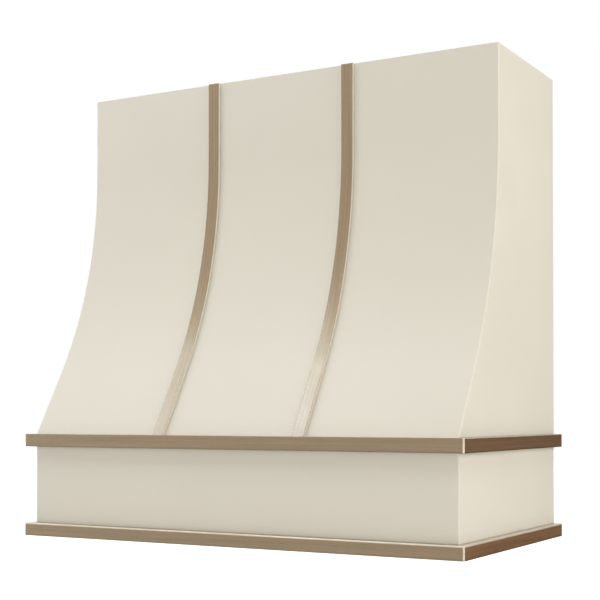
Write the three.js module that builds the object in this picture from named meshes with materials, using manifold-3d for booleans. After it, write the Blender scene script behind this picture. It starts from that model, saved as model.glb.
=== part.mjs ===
// Wooden range hood cover: a kitchen hood shell with a swept front, fastened to the wall above a range.
// Painted side panels, a bent front skin and an apron are trimmed with walnut mouldings and two walnut
// straps. A frame of rails, ribs and ledges inside stiffens them and carries a vent insert.
//
// Millimetres. +X is to the viewer's right, the front faces -Y, the wall side faces +Y, +Z is up.
// The origin is centred under the bounding box, on the plane of the underside.

import * as THREE from 'three';
import { mergeVertices } from 'three/addons/utils/BufferGeometryUtils.js';
import Module from 'manifold-3d';

const wasm = await Module();
wasm.setup();

// ---------------------------------------------------------------- driving dimensions

const bodyWidth = 914.4; // across the painted sides, 36 in
const bodyHeight = 914.4; // from the underside to the top edge, 36 in
const topDepth = 304.8; // wall to the skin's face at the top, 12 in
const baseDepth = 495.3; // wall to the apron's face, 19 1/2 in
const baseHeight = 203.2; // the upright base, up to the top of the upper trim, 8 in

const sweepRadius = 838.2; // radius of the swept front's arc, 33 in
const footSlope = THREE.MathUtils.degToRad(30.8); // lean of the straight foot below the arc

const boardThickness = 19.05; // panels, rails, ribs and ledges, 3/4 in
const skinThickness = 6.35; // bending plywood of the front, 1/4 in
const bodyEase = 2.4; // radius of the painted front corners

const trimHeight = 25.4; // walnut mouldings, 1 in
const trimThickness = 16; // how far the mouldings stand out, 5/8 in
const trimEase = 2; // radius of their outer edges

const panelCount = 3; // equal fields that the straps part the front into
const strapWidth = 25.4;
const strapThickness = 6.35;
const strapEase = 1.2;

const ribDepth = 50.8; // front to back of a curved rib
const railHeight = 88.9; // top front rail and wall rails
const battenHeight = 38.1; // bevelled batten behind the skin's foot
const battenTopWidth = 12.7;
const ledgeWidth = 63.5; // flat boards that carry the vent insert
const ledgeRecess = 25.4; // underside of the ledges above the underside of the hood
const blockLeg = 38.1; // triangular glue blocks in the front corners
const blockHeight = 101.6;

const screwLength = 31.75; // 1 1/4 in, under its head
const screwShankRadius = 2.1;
const screwHeadRadius = 4.2;
const screwHeadHeight = 2.4;
const pocketRadius = 4.75;
const pocketSlope = THREE.MathUtils.degToRad(15);
const pocketFloor = 17.5; // from the joint to the seat of the screw's head, along the screw
const screwEdge = 19.05; // from a rail's edges to its screws
const ledgeScrewInset = 76.2; // from a ledge's ends to its outer screws

const glueLine = 0.3; // between a bent or mitred piece and what carries it
const screwClearance = 0.3; // round a screw's shank and under its head

const sweepSteps = 26; // facets of the arc
const easeSteps = 3; // facets of an eased edge
const screwSides = 12;
const pocketSides = 16;
const cutMargin = 5; // how far a cutting shape runs past the faces it cuts

// ---------------------------------------------------------------- derived planes

const halfWidth = bodyWidth / 2;
const innerHalfWidth = halfWidth - boardThickness;
const apronBack = baseDepth - boardThickness;
const skinSeat = skinThickness + glueLine;
const ledgeTop = ledgeRecess + boardThickness;
const railBottom = bodyHeight - railHeight;
const ribCentre = bodyWidth / panelCount / 2;
const wallPlane = (baseDepth + trimThickness) / 2;

// ---------------------------------------------------------------- materials

const paint = new THREE.MeshStandardMaterial({ color: 0xddd7c4, roughness: 0.45, metalness: 0 });
const walnut = new THREE.MeshStandardMaterial({ color: 0x7a5b43, roughness: 0.35, metalness: 0 });
const plywood = new THREE.MeshStandardMaterial({ color: 0xc8aa7d, roughness: 0.7, metalness: 0 });
const zinc = new THREE.MeshStandardMaterial({ color: 0xb4b6b8, roughness: 0.35, metalness: 1 });

// ---------------------------------------------------------------- solids and coordinates

// Sizes are rounded to 1/1024 mm, which 32-bit vertices hold exactly, so faces that meet share one plane.
const snapsPerMillimetre = 1024;

function snap(value) {
  return Math.round(value * snapsPerMillimetre) / snapsPerMillimetre;
}

function point(x, y) {
  return new THREE.Vector2(snap(x), snap(y));
}

function arcPoints(centreX, centreY, radius, from, to) {
  return Array.from({ length: easeSteps + 1 }, (unused, step) => {
    const angle = from + ((to - from) * step) / easeSteps;
    return point(centreX + radius * Math.cos(angle), centreY + radius * Math.sin(angle));
  });
}

function solidOf(geometry) {
  const bare = geometry.clone();
  bare.deleteAttribute('normal');
  bare.deleteAttribute('uv');
  const merged = mergeVertices(bare);
  return new wasm.Manifold(
    new wasm.Mesh({
      numProp: 3,
      vertProperties: merged.attributes.position.array,
      triVerts: new Uint32Array(merged.index.array),
    }),
  );
}

function geometryOf(solid) {
  const mesh = solid.getMesh();
  const geometry = new THREE.BufferGeometry();
  geometry.setAttribute('position', new THREE.BufferAttribute(mesh.vertProperties, 3));
  geometry.setIndex(new THREE.BufferAttribute(mesh.triVerts, 1));
  geometry.computeVertexNormals();
  return geometry;
}

function namedMesh(name, geometry, material) {
  const mesh = new THREE.Mesh(geometry, material);
  mesh.name = name;
  return mesh;
}

// Cuts tools, given in the hood's frame, out of a mesh that is placed in that frame.
function carve(mesh, tools) {
  mesh.updateMatrix();
  const toMesh = mesh.matrix.clone().invert();
  const carved = tools.reduce(
    (solid, tool) => solid.subtract(solidOf(tool.clone().applyMatrix4(toMesh))),
    solidOf(mesh.geometry),
  );
  mesh.geometry = geometryOf(carved);
}

// A square-edged board between two limits on each axis. Depths are measured from the wall.
function board(name, material, [left, right], [back, front], [low, high]) {
  const size = [snap(right) - snap(left), snap(front) - snap(back), snap(high) - snap(low)];
  const mesh = namedMesh(name, new THREE.BoxGeometry(...size), material);
  mesh.position.set(
    (snap(left) + snap(right)) / 2,
    -(snap(back) + snap(front)) / 2,
    (snap(low) + snap(high)) / 2,
  );
  return mesh;
}

// A piece drawn in side view, as [-depth, height] points, and as thick as left to right.
const sideView = new THREE.Quaternion(0.5, 0.5, 0.5, 0.5);

function sideViewGeometry(outline, thickness) {
  return new THREE.ExtrudeGeometry(new THREE.Shape(outline), { depth: snap(thickness), bevelEnabled: false });
}

function sideViewPiece(name, material, outline, [left, right]) {
  const mesh = namedMesh(name, sideViewGeometry(outline, snap(right) - snap(left)), material);
  mesh.quaternion.copy(sideView);
  mesh.position.x = snap(left);
  return mesh;
}

// A piece drawn in plan, as [x, -depth] points, and standing from low to high.
function planPiece(name, material, outline, [low, high]) {
  const shape = new THREE.Shape(outline);
  const geometry = new THREE.ExtrudeGeometry(shape, { depth: snap(high - low), bevelEnabled: false });
  const mesh = namedMesh(name, geometry, material);
  mesh.position.z = snap(low);
  return mesh;
}

// ---------------------------------------------------------------- the swept front

// Seen from the side, the front drops straight from the top, bends forward along an arc whose centre
// stands in front of the hood, and runs out in a straight foot that meets the apron's face.
const flare = baseDepth - topDepth;
const sweepTurn = Math.min(footSlope, Math.acos(1 - flare / sweepRadius));
const arcFlare = sweepRadius * (1 - Math.cos(sweepTurn));
const arcEnd = baseHeight + (flare - arcFlare) / Math.tan(sweepTurn);
const arcStart = arcEnd + sweepRadius * Math.sin(sweepTurn);

// Depth from the wall, at a height, of the line that runs parallel to the front and lies inset behind it.
function frontDepth(height, inset) {
  const radius = sweepRadius + inset;
  const drop = arcStart - height;
  const arcDrop = radius * Math.sin(sweepTurn);
  const arcCentre = topDepth + sweepRadius;
  if (drop <= 0) return topDepth - inset;
  if (drop < arcDrop) return arcCentre - Math.sqrt(radius * radius - drop * drop);
  return arcCentre - radius * Math.cos(sweepTurn) + (drop - arcDrop) * Math.tan(sweepTurn);
}

// Heights at which the faceted front bends, from low to high.
function bendHeights(low, high) {
  const turns = Array.from({ length: sweepSteps + 1 }, (unused, step) => sweepTurn * (1 - step / sweepSteps));
  const bends = turns.map((turn) => arcStart - sweepRadius * Math.sin(turn));
  return [low, ...bends.filter((height) => height > low + 1 && height < high - 1), high].map(snap);
}

// The side view of the line that lies inset behind the front, from low to high.
function frontLine(inset, low, high) {
  return bendHeights(low, high).map((height) => point(-frontDepth(height, inset), height));
}

// A section of a piece bent to the front, as [x, inset] points, with its two front edges eased.
function easedSection(centre, width, front, back, ease) {
  const left = centre - width / 2;
  const right = centre + width / 2;
  return [
    point(right, back),
    point(left, back),
    ...arcPoints(left + ease, front + ease, ease, Math.PI, 1.5 * Math.PI),
    ...arcPoints(right - ease, front + ease, ease, 1.5 * Math.PI, 2 * Math.PI),
  ];
}

// A piece bent to the front: its section is carried up the front in level slices from low to high.
function bentPiece(name, material, section, low, high) {
  const heights = bendHeights(low, high);
  const count = section.length;
  const positions = heights.flatMap((height) =>
    section.flatMap((corner) => [corner.x, -frontDepth(height, corner.y), height]),
  );
  const index = [];
  for (let slice = 0; slice + 1 < heights.length; slice += 1) {
    for (let corner = 0; corner < count; corner += 1) {
      const a = slice * count + corner;
      const b = slice * count + ((corner + 1) % count);
      index.push(a, b, b + count, a, b + count, a + count);
    }
  }
  const topSlice = (heights.length - 1) * count;
  for (const [a, b, c] of THREE.ShapeUtils.triangulateShape(section, [])) {
    index.push(a, c, b, topSlice + a, topSlice + b, topSlice + c);
  }
  const geometry = new THREE.BufferGeometry();
  geometry.setAttribute('position', new THREE.Float32BufferAttribute(positions, 3));
  geometry.setIndex(index);
  geometry.computeVertexNormals();
  return namedMesh(name, geometry, material);
}

// ---------------------------------------------------------------- painted shell

// A side panel follows the back of the apron and then the back of the skin.
function sidePanel(name, limits) {
  const outline = [
    point(0, 0),
    point(0, bodyHeight),
    ...frontLine(skinSeat, baseHeight, bodyHeight).reverse(),
    point(-apronBack, baseHeight),
    point(-apronBack, 0),
  ];
  return sideViewPiece(name, paint, outline, limits);
}

function frontSkin() {
  const section = easedSection(0, bodyWidth, 0, skinThickness, bodyEase);
  return bentPiece('front_skin', paint, section, baseHeight, bodyHeight);
}

// The apron laps the front edges of the side panels, and its two front corners are eased.
function apron() {
  const centre = -(baseDepth - bodyEase);
  const outline = [
    point(halfWidth, -apronBack),
    point(-halfWidth, -apronBack),
    ...arcPoints(-halfWidth + bodyEase, centre, bodyEase, Math.PI, 1.5 * Math.PI),
    ...arcPoints(halfWidth - bodyEase, centre, bodyEase, 1.5 * Math.PI, 2 * Math.PI),
  ];
  return planPiece('apron_front', paint, outline, [0, baseHeight]);
}

// ---------------------------------------------------------------- walnut trims and straps

// A moulding's section, as [outward, height] points from the body's face, with its outer edges eased.
function trimSection(low) {
  const high = low + trimHeight;
  const centre = trimThickness - trimEase;
  return [
    point(0, high),
    point(0, low),
    ...arcPoints(centre, low + trimEase, trimEase, -0.5 * Math.PI, 0),
    ...arcPoints(centre, high - trimEase, trimEase, 0, 0.5 * Math.PI),
  ];
}

// The mitred plan of a moulding: the rounded outer corner is shared half and half by front and side.
const cornerCentre = point(halfWidth + trimThickness - trimEase, -(baseDepth + trimThickness - trimEase));
const mitreTip = point(halfWidth - cutMargin, -(baseDepth - cutMargin));
const mitreAngle = -0.25 * Math.PI;

function cornerArc(from, to) {
  return arcPoints(cornerCentre.x, cornerCentre.y, trimEase, from, to);
}

function frontTrim(name, low) {
  const rightEnd = [...cornerArc(-0.5 * Math.PI, mitreAngle), mitreTip];
  const leftEnd = rightEnd.map((corner) => point(-corner.x, corner.y)).reverse();
  const profile = trimSection(low).map((corner) => point(-baseDepth - corner.x, corner.y));
  const reach = halfWidth + trimThickness + cutMargin;
  const bar = sideViewPiece(name, walnut, profile, [-reach, reach]);
  return mitredTrim(bar, [...leftEnd, ...rightEnd], low);
}

// side is 1 for the right and -1 for the left. The moulding runs back to the wall.
function sideTrim(name, low, side) {
  const mitreGap = glueLine / trimEase;
  const rightPlan = [
    point(mitreTip.x, mitreTip.y + glueLine),
    ...cornerArc(mitreAngle + mitreGap, 0),
    point(halfWidth + trimThickness, 0),
    point(mitreTip.x, 0),
  ];
  const length = snap(baseDepth + trimThickness + cutMargin);
  const profile = trimSection(low).map((corner) => point(side * (halfWidth + corner.x), corner.y));
  const bar = namedMesh(name, sideViewGeometry(profile, length), walnut);
  bar.rotation.x = Math.PI / 2;
  const plan = rightPlan.map((corner) => point(side * corner.x, corner.y));
  return mitredTrim(bar, plan, low);
}

// Keeps the part of a bar that stands on the plan.
function mitredTrim(bar, plan, low) {
  const wedge = planPiece('', walnut, plan, [low - cutMargin, low + trimHeight + cutMargin]);
  bar.updateMatrix();
  wedge.updateMatrix();
  const barSolid = solidOf(bar.geometry.applyMatrix4(bar.matrix));
  const wedgeSolid = solidOf(wedge.geometry.applyMatrix4(wedge.matrix));
  return namedMesh(bar.name, geometryOf(barSolid.intersect(wedgeSolid)), walnut);
}

function trimSet(level, low) {
  return [
    frontTrim(`${level}_trim_front`, low),
    sideTrim(`${level}_trim_left`, low, -1),
    sideTrim(`${level}_trim_right`, low, 1),
  ];
}

// A strap lies on the skin from the top edge down to the top of the upper trim.
function strap(name, centre) {
  const section = easedSection(centre, strapWidth, -glueLine - strapThickness, -glueLine, strapEase);
  return bentPiece(name, walnut, section, baseHeight, bodyHeight);
}

// ---------------------------------------------------------------- inner frame

// A rib backs the skin behind a strap. Its leg stands on the front ledge against the apron, its nose
// rests on the apron's top edge, and its head is notched over the top front rail.
function rib(name, centre) {
  const railBack = frontDepth(bodyHeight, skinSeat) - boardThickness;
  const backInset = skinSeat + ribDepth;
  const legBack = apronBack - ribDepth;
  const legTop = baseHeight + (frontDepth(baseHeight, backInset) - legBack) / Math.tan(sweepTurn);
  const outline = [
    point(-legBack, ledgeTop),
    point(-apronBack, ledgeTop),
    point(-apronBack, baseHeight),
    ...frontLine(skinSeat, baseHeight, railBottom),
    point(-railBack, railBottom),
    point(-railBack, bodyHeight),
    ...frontLine(backInset, legTop, bodyHeight).reverse(),
  ];
  return sideViewPiece(name, plywood, outline, [centre - boardThickness / 2, centre + boardThickness / 2]);
}

// The batten's front is bevelled to the skin, and it rests on the apron's top edge.
function footBatten(name, limits) {
  const top = baseHeight + battenHeight;
  const back = frontDepth(top, skinSeat) - battenTopWidth;
  const outline = [point(-back, baseHeight), ...frontLine(skinSeat, baseHeight, top), point(-back, top)];
  return sideViewPiece(name, plywood, outline, limits);
}

// side is 1 for the right and -1 for the left.
function cornerBlock(name, side) {
  const outline = [
    point(side * innerHalfWidth, -apronBack),
    point(side * (innerHalfWidth - blockLeg), -apronBack),
    point(side * innerHalfWidth, -apronBack + blockLeg),
  ];
  return planPiece(name, plywood, outline, [ledgeTop, ledgeTop + blockHeight]);
}

function innerFrame() {
  const across = [-innerHalfWidth, innerHalfWidth];
  const topRailFront = frontDepth(bodyHeight, skinSeat);
  const ribLeft = -ribCentre - boardThickness / 2;
  const ribRight = ribCentre + boardThickness / 2;
  const ribInner = ribCentre - boardThickness / 2;
  const ledgeHeights = [ledgeRecess, ledgeTop];
  const sideLedgeDepths = [boardThickness + ledgeWidth, apronBack - ledgeWidth];
  const ledgeInner = innerHalfWidth - ledgeWidth;
  return [
    rib('rib_left', -ribCentre),
    rib('rib_right', ribCentre),
    footBatten('foot_batten_left', [-innerHalfWidth, ribLeft]),
    footBatten('foot_batten_middle', [-ribInner, ribInner]),
    footBatten('foot_batten_right', [ribRight, innerHalfWidth]),
    board('top_front_rail', plywood, across, [topRailFront - boardThickness, topRailFront], [railBottom, bodyHeight]),
    board('upper_wall_rail', plywood, across, [0, boardThickness], [railBottom, bodyHeight]),
    board('lower_wall_rail', plywood, across, [0, boardThickness], [0, railHeight]),
    board('ledge_front', plywood, across, [apronBack - ledgeWidth, apronBack], ledgeHeights),
    board('ledge_back', plywood, across, [boardThickness, boardThickness + ledgeWidth], ledgeHeights),
    board('ledge_left', plywood, [-innerHalfWidth, -ledgeInner], sideLedgeDepths, ledgeHeights),
    board('ledge_right', plywood, [ledgeInner, innerHalfWidth], sideLedgeDepths, ledgeHeights),
    cornerBlock('corner_block_left', -1),
    cornerBlock('corner_block_right', 1),
  ];
}

// ---------------------------------------------------------------- pocket screws

// A pan head on a pointed shank, turned about +Z, with the underside of the head at z = 0 and the
// point towards +Z.
function screwGeometry() {
  const profile = [
    [0, -screwHeadHeight],
    [0.6 * screwHeadRadius, -screwHeadHeight],
    [screwHeadRadius, -0.5 * screwHeadHeight],
    [screwHeadRadius, 0],
    [screwShankRadius, 0],
    [screwShankRadius, screwLength - 2 * screwShankRadius],
    [0, screwLength],
  ];
  const points = profile.map(([radius, along]) => new THREE.Vector2(radius, along));
  return new THREE.LatheGeometry(points, screwSides).rotateX(Math.PI / 2);
}

function drill(radius, from, to, sides) {
  const geometry = new THREE.CylinderGeometry(radius, radius, to - from, sides);
  return geometry.rotateX(Math.PI / 2).translate(0, 0, (from + to) / 2);
}

// One screw of a pocket joint. The joint's point lies between two boards at the mid-thickness of the
// one that has the pocket, joint.into points into the other one, and joint.face points out of the face
// that the pocket opens on.
function pocketScrew(joint) {
  const into = new THREE.Vector3(...joint.into);
  const face = new THREE.Vector3(...joint.face);
  const along = into.clone().multiplyScalar(Math.cos(pocketSlope));
  along.addScaledVector(face, -Math.sin(pocketSlope));
  const turn = new THREE.Quaternion().setFromUnitVectors(new THREE.Vector3(0, 0, 1), along);
  const seat = new THREE.Vector3(...joint.at).addScaledVector(along, -pocketFloor);

  const screw = namedMesh(joint.name, screwGeometry(), zinc);
  screw.quaternion.copy(turn);
  screw.position.copy(seat).addScaledVector(along, -screwClearance);

  const pocketLength = (boardThickness + 2 * pocketRadius) / Math.sin(pocketSlope);
  const pocket = drill(pocketRadius, -pocketLength, 0, pocketSides);
  const bore = drill(screwShankRadius + screwClearance, -cutMargin, screwLength, screwSides);
  const place = new THREE.Matrix4().compose(seat, turn, new THREE.Vector3(1, 1, 1));
  return { screw, tools: [pocket.applyMatrix4(place), bore.applyMatrix4(place)], boards: joint.boards };
}

// Screws through both ends of a rail into the side panels, at the given heights.
function railJoints(rail, depth, face, heights) {
  return [-1, 1].flatMap((side) =>
    heights.map((height, row) => ({
      name: `screw_${rail}_${side < 0 ? 'left' : 'right'}_${row + 1}`,
      at: [side * innerHalfWidth, -depth, height],
      into: [side, 0, 0],
      face,
      boards: [rail, side < 0 ? 'side_panel_left' : 'side_panel_right'],
    })),
  );
}

// Screws along a ledge, down from its top face into the board beside it.
function ledgeJoints(ledge, neighbour, into, places) {
  return places.map(([x, depth], row) => ({
    name: `screw_${ledge}_${row + 1}`,
    at: [x, -depth, ledgeRecess + boardThickness / 2],
    into,
    face: [0, 0, 1],
    boards: [ledge, neighbour],
  }));
}

function allJoints() {
  const middle = boardThickness / 2;
  const topRailDepth = frontDepth(bodyHeight, skinSeat) - middle;
  const railRows = [railBottom + screwEdge, bodyHeight - screwEdge];
  const lowerRow = [(ledgeTop + railHeight) / 2];
  const outerX = innerHalfWidth - ledgeScrewInset;
  const innerX = ribCentre - ledgeScrewInset;
  const acrossX = [-outerX, -innerX, innerX, outerX];
  const sideBack = boardThickness + ledgeWidth + ledgeScrewInset;
  const sideFront = apronBack - ledgeWidth - ledgeScrewInset;
  const sideDepths = [sideBack, (sideBack + sideFront) / 2, sideFront];
  return [
    ...railJoints('upper_wall_rail', middle, [0, -1, 0], railRows),
    ...railJoints('lower_wall_rail', middle, [0, -1, 0], lowerRow),
    ...railJoints('top_front_rail', topRailDepth, [0, 1, 0], railRows),
    ...ledgeJoints('ledge_front', 'apron_front', [0, -1, 0], acrossX.map((x) => [x, apronBack])),
    ...ledgeJoints('ledge_back', 'lower_wall_rail', [0, 1, 0], acrossX.map((x) => [x, boardThickness])),
    ...ledgeJoints('ledge_left', 'side_panel_left', [-1, 0, 0], sideDepths.map((y) => [-innerHalfWidth, y])),
    ...ledgeJoints('ledge_right', 'side_panel_right', [1, 0, 0], sideDepths.map((y) => [innerHalfWidth, y])),
  ];
}

// ---------------------------------------------------------------- assembly

function groupOf(...meshes) {
  const group = new THREE.Group();
  group.add(...meshes);
  return group;
}

const shell = groupOf(
  sidePanel('side_panel_left', [-halfWidth, -innerHalfWidth]),
  sidePanel('side_panel_right', [innerHalfWidth, halfWidth]),
  frontSkin(),
  apron(),
);
const trim = groupOf(
  ...trimSet('upper', baseHeight - trimHeight),
  ...trimSet('lower', 0),
  strap('strap_left', -ribCentre),
  strap('strap_right', ribCentre),
);
const frame = groupOf(...innerFrame());

const joints = allJoints().map(pocketScrew);
const fasteners = groupOf(...joints.map((joint) => joint.screw));
for (const mesh of [...shell.children, ...frame.children]) {
  const tools = joints.filter((joint) => joint.boards.includes(mesh.name)).flatMap((joint) => joint.tools);
  if (tools.length > 0) carve(mesh, tools);
}

// Depths run from the wall, so the whole hood is moved back to centre its box on the origin.
const hood = groupOf(shell, trim, frame, fasteners);
hood.position.y = snap(wallPlane);

export default hood;
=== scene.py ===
# The finished look of a wooden range hood cover: painted shell, walnut straps and mouldings, plywood frame,
# zinc screws, and the studio that shows it.
# Metres. +X is to the viewer's right, the front faces -Y, +Z is up.

import math

import bmesh
import bpy
import numpy as np
from bpy.props import FloatProperty, FloatVectorProperty, IntProperty, PointerProperty
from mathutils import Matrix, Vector


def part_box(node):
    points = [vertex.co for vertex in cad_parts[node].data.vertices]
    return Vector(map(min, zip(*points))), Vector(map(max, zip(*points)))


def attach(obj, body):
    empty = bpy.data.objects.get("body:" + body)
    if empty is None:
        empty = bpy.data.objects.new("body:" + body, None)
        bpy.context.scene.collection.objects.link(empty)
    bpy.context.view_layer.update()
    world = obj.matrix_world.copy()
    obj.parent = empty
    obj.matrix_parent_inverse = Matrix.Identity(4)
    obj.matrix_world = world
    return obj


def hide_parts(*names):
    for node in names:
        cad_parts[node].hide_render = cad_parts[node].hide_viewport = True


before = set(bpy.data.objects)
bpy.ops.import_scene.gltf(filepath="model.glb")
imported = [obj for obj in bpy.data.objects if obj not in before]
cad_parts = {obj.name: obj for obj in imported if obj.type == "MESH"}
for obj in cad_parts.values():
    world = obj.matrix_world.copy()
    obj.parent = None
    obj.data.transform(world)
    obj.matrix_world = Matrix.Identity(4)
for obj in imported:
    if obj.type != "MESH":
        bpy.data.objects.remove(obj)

bl_info = {
    "name": "Wooden Range Hood Cover",
    "version": (1, 0, 0),
    "blender": (4, 5, 0),
    "location": "3D View > Sidebar > Hood",
    "description": "Swept wooden hood cover with walnut straps and mouldings, and a studio to show it in",
    "category": "Add Mesh",
}

BODY = "root"

# -------- places read from the frame

SKIN_LOW, SKIN_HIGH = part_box("front_skin")
APRON_LOW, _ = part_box("apron_front")
PANEL_LOW, PANEL_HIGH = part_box("side_panel_right")
TRIM_LOW, TRIM_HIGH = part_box("upper_trim_front")
STRAP_LOW, STRAP_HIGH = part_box("strap_right")
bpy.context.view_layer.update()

WALL = PANEL_HIGH.y
BOARD = PANEL_HIGH.x - PANEL_LOW.x
UPPER_LEDGE = TRIM_HIGH.z  # height of the upper moulding's top
LOWER_LEDGE = TRIM_HIGH.z - TRIM_LOW.z  # the lower moulding is as high, and stands on the underside's plane

# -------- small sizes that the frame doesn't give

SKIN = 0.00635
STRAP = 0.00635
GLUE_LINE = 0.0003
STRAP_FRONT = STRAP + GLUE_LINE
STRAP_PAINT = 0.35  # share of a strap's easing that the paint on its sides reaches over
PANEL_EASE = 0.0010  # the side panels' outer edges
TRIM_BACK_EASE = 0.0006  # a moulding's two edges at the body's face
MITRE_RUN = 0.03  # a moulding's straight rows end this far from the body's corner
MITRE_GAP = 0.00006
PAINTED_LIGHT_FADE = 0.0009  # a painted highlight and a painted shade fade into plain wood over this length
FOOT_SHADE_HEIGHT = 0.0016  # height of the painted shade along the foot of a moulding's face
GRAIN_STEP = 1.37  # each walnut piece is cut this much further along the stock than the one before
GRAIN_STRIP = 0.11  # and from a strip this much further across
SAME_PLACE = 1e-6  # points no further apart than this fall together

SCREW_HEAD_RADIUS = 0.0042
SCREW_HEAD_HEIGHT = 0.0024
SCREW_SHANK = 0.0021
SCREW_CORE = 0.0014
SCREW_NECK = 0.004  # plain shank under the head
SCREW_POINT = 0.006
THREAD_PITCH = 0.0018
THREAD_START = 0.003

FRONT_COLUMNS = 24  # columns of faces across the skin and the apron
CURVE_SAMPLES = 4000  # samples by which the front's curve is measured
SCREW_SIDES = 36
SHANK_ROWS = 150
BOARD_PLIES = 13

# -------- settings


def length(name, description, default, low=0.0005):
    """A size in metres, shown in the user's own unit."""
    told = {"name": name, "description": description, "default": default}
    return FloatProperty(**told, min=low, max=2.0, unit="LENGTH", subtype="DISTANCE")


def colour(name, description, default):
    """A linear colour."""
    told = {"name": name, "description": description, "default": default}
    return FloatVectorProperty(**told, min=0.0, max=1.0, size=3, subtype="COLOR")


class HoodSizes(bpy.types.PropertyGroup):
    """Sizes of the shell, the mouldings and the straps."""

    width: length("Width", "Across the painted sides", SKIN_HIGH.x - SKIN_LOW.x)
    height: length("Height", "From the underside to the top edge", SKIN_HIGH.z)
    top_depth: length("Top depth", "Wall to the skin's face at the top", WALL - SKIN_HIGH.y + SKIN)
    base_depth: length("Base depth", "Wall to the apron's face", WALL - APRON_LOW.y)
    base_height: length("Base height", "Underside to the top of the upper moulding", SKIN_LOW.z)
    sweep_radius: length("Sweep radius", "Radius of the bent front", 0.8382)
    foot_slope: FloatProperty(
        name="Foot slope",
        description="Lean of the straight foot below the bend",
        default=math.radians(30.8),
        min=0.0,
        max=math.radians(60.0),
        unit="ROTATION",
        subtype="ANGLE",
    )
    skin: length("Skin thickness", "Bent plywood of the front", SKIN)
    board: length("Board thickness", "Side panels and apron", BOARD)
    body_ease: length("Body easing", "Radius of the painted corners", 0.0026)
    trim_height: length("Moulding height", "Height of a walnut moulding", TRIM_HIGH.z - TRIM_LOW.z)
    trim_thickness: length("Moulding thickness", "How far a moulding stands out", APRON_LOW.y - TRIM_LOW.y)
    # the corner and the upper arris of this easing carry a painted highlight
    trim_ease: length("Moulding easing", "Radius of a moulding's corner and rubbed edge", 0.0022)
    trim_crisp_ease: length("Crisp easing", "Radius of a moulding's other outer edges", 0.0008, low=0.0002)
    strap_width: length("Strap width", "Across a walnut strap", STRAP_HIGH.x - STRAP_LOW.x)
    strap_thickness: length("Strap thickness", "How far a strap stands off the skin", STRAP_FRONT)
    strap_ease: length("Strap easing", "Radius of a strap's front edges", 0.0012)
    strap_groove: length("Strap groove", "Width of the groove between a strap and the skin", 0.0009)
    sweep_steps: IntProperty(
        name="Sweep steps",
        description="Rows of faces along the bent front",
        default=150,
        min=12,
        max=600,
    )


class HoodColours(bpy.types.PropertyGroup):
    """Colours of the finishes, as linear values."""

    paint: colour("Paint", "Satin cream paint", (0.735, 0.686, 0.571))
    # colour of the darker line along the joint above a moulding
    joint_line_colour: colour("Joint dust", "Dust and stain in the joint above a moulding", (0.20, 0.175, 0.13))
    walnut_dark: colour("Walnut, late wood", "Dark streaks of the walnut", (0.142, 0.067, 0.034))
    walnut_mid: colour("Walnut", "Body of the walnut", (0.217, 0.112, 0.061))
    walnut_light: colour("Walnut, early wood", "Light streaks of the walnut", (0.288, 0.156, 0.087))
    # a pale colour painted as highlight along the mouldings' eased edges, ledges and mitred corners
    walnut_highlight: colour("Walnut, rubbed arris", "Paler wood along the eased edges", (0.72, 0.63, 0.50))
    birch: colour("Birch", "Sanded face of the birch plywood", (0.62, 0.47, 0.29))
    birch_edge: colour("Birch edge", "End grain between the veneers", (0.40, 0.265, 0.145))
    zinc: colour("Zinc", "Bright zinc plate on the screws", (0.62, 0.64, 0.66))


# -------- surfaces worked out as arrays


def front_depth(height, inset, sizes):
    """Depth from the wall of the line parallel to the front and inset behind it, at the given heights.

    The front drops straight from the top, turns forward along an arc whose centre stands in front of the
    hood, so that depth = centre - sqrt(radius^2 - drop^2), and leaves it on a straight foot.
    """
    height, inset = np.broadcast_arrays(np.asarray(height, float), np.asarray(inset, float))
    flare = sizes.base_depth - sizes.top_depth
    turn = sizes.foot_slope
    arc_flare = sizes.sweep_radius * (1 - math.cos(turn))
    arc_end = sizes.base_height + (flare - arc_flare) / math.tan(turn)
    arc_start = arc_end + sizes.sweep_radius * math.sin(turn)
    radius = sizes.sweep_radius + inset
    drop = arc_start - height
    arc_drop = radius * math.sin(turn)
    centre = sizes.top_depth + sizes.sweep_radius
    on_arc = centre - np.sqrt(np.maximum(radius**2 - np.clip(drop, 0, arc_drop) ** 2, 0))
    return on_arc + np.maximum(drop - arc_drop, 0) * math.tan(turn)


def front_rows(sizes):
    """Heights of the rows of faces from the foot to the top, evenly spaced along the curve, and the length
    of the curve up to each."""
    height = np.linspace(sizes.base_height, sizes.height, CURVE_SAMPLES)
    depth = front_depth(height, 0.0, sizes)
    run = np.concatenate([[0.0], np.cumsum(np.hypot(np.diff(height), np.diff(depth)))])
    even = np.linspace(0, run[-1], sizes.sweep_steps + 1)
    return np.interp(even, run, height), even


def arc(centre, radius, start, end, steps=8):
    """Points on an arc: centre + radius (cos a, sin a), with a from start to end in quarter turns."""
    angle = np.linspace(start, end, steps + 1) * math.pi / 2
    return np.stack([centre[0] + radius * np.cos(angle), centre[1] + radius * np.sin(angle)], axis=1)


def straight(start, end, steps, hold=0.0004):
    """Points between two corners of a section, without the corners, with one close to each of them."""
    start, end = np.asarray(start, float), np.asarray(end, float)
    share = hold / np.linalg.norm(end - start)
    inner = np.linspace(0, 1, steps + 1)[1:-1]
    steps_along = np.concatenate([[share], inner, [1 - share]])
    return start + (end - start) * steps_along[:, None]


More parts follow.
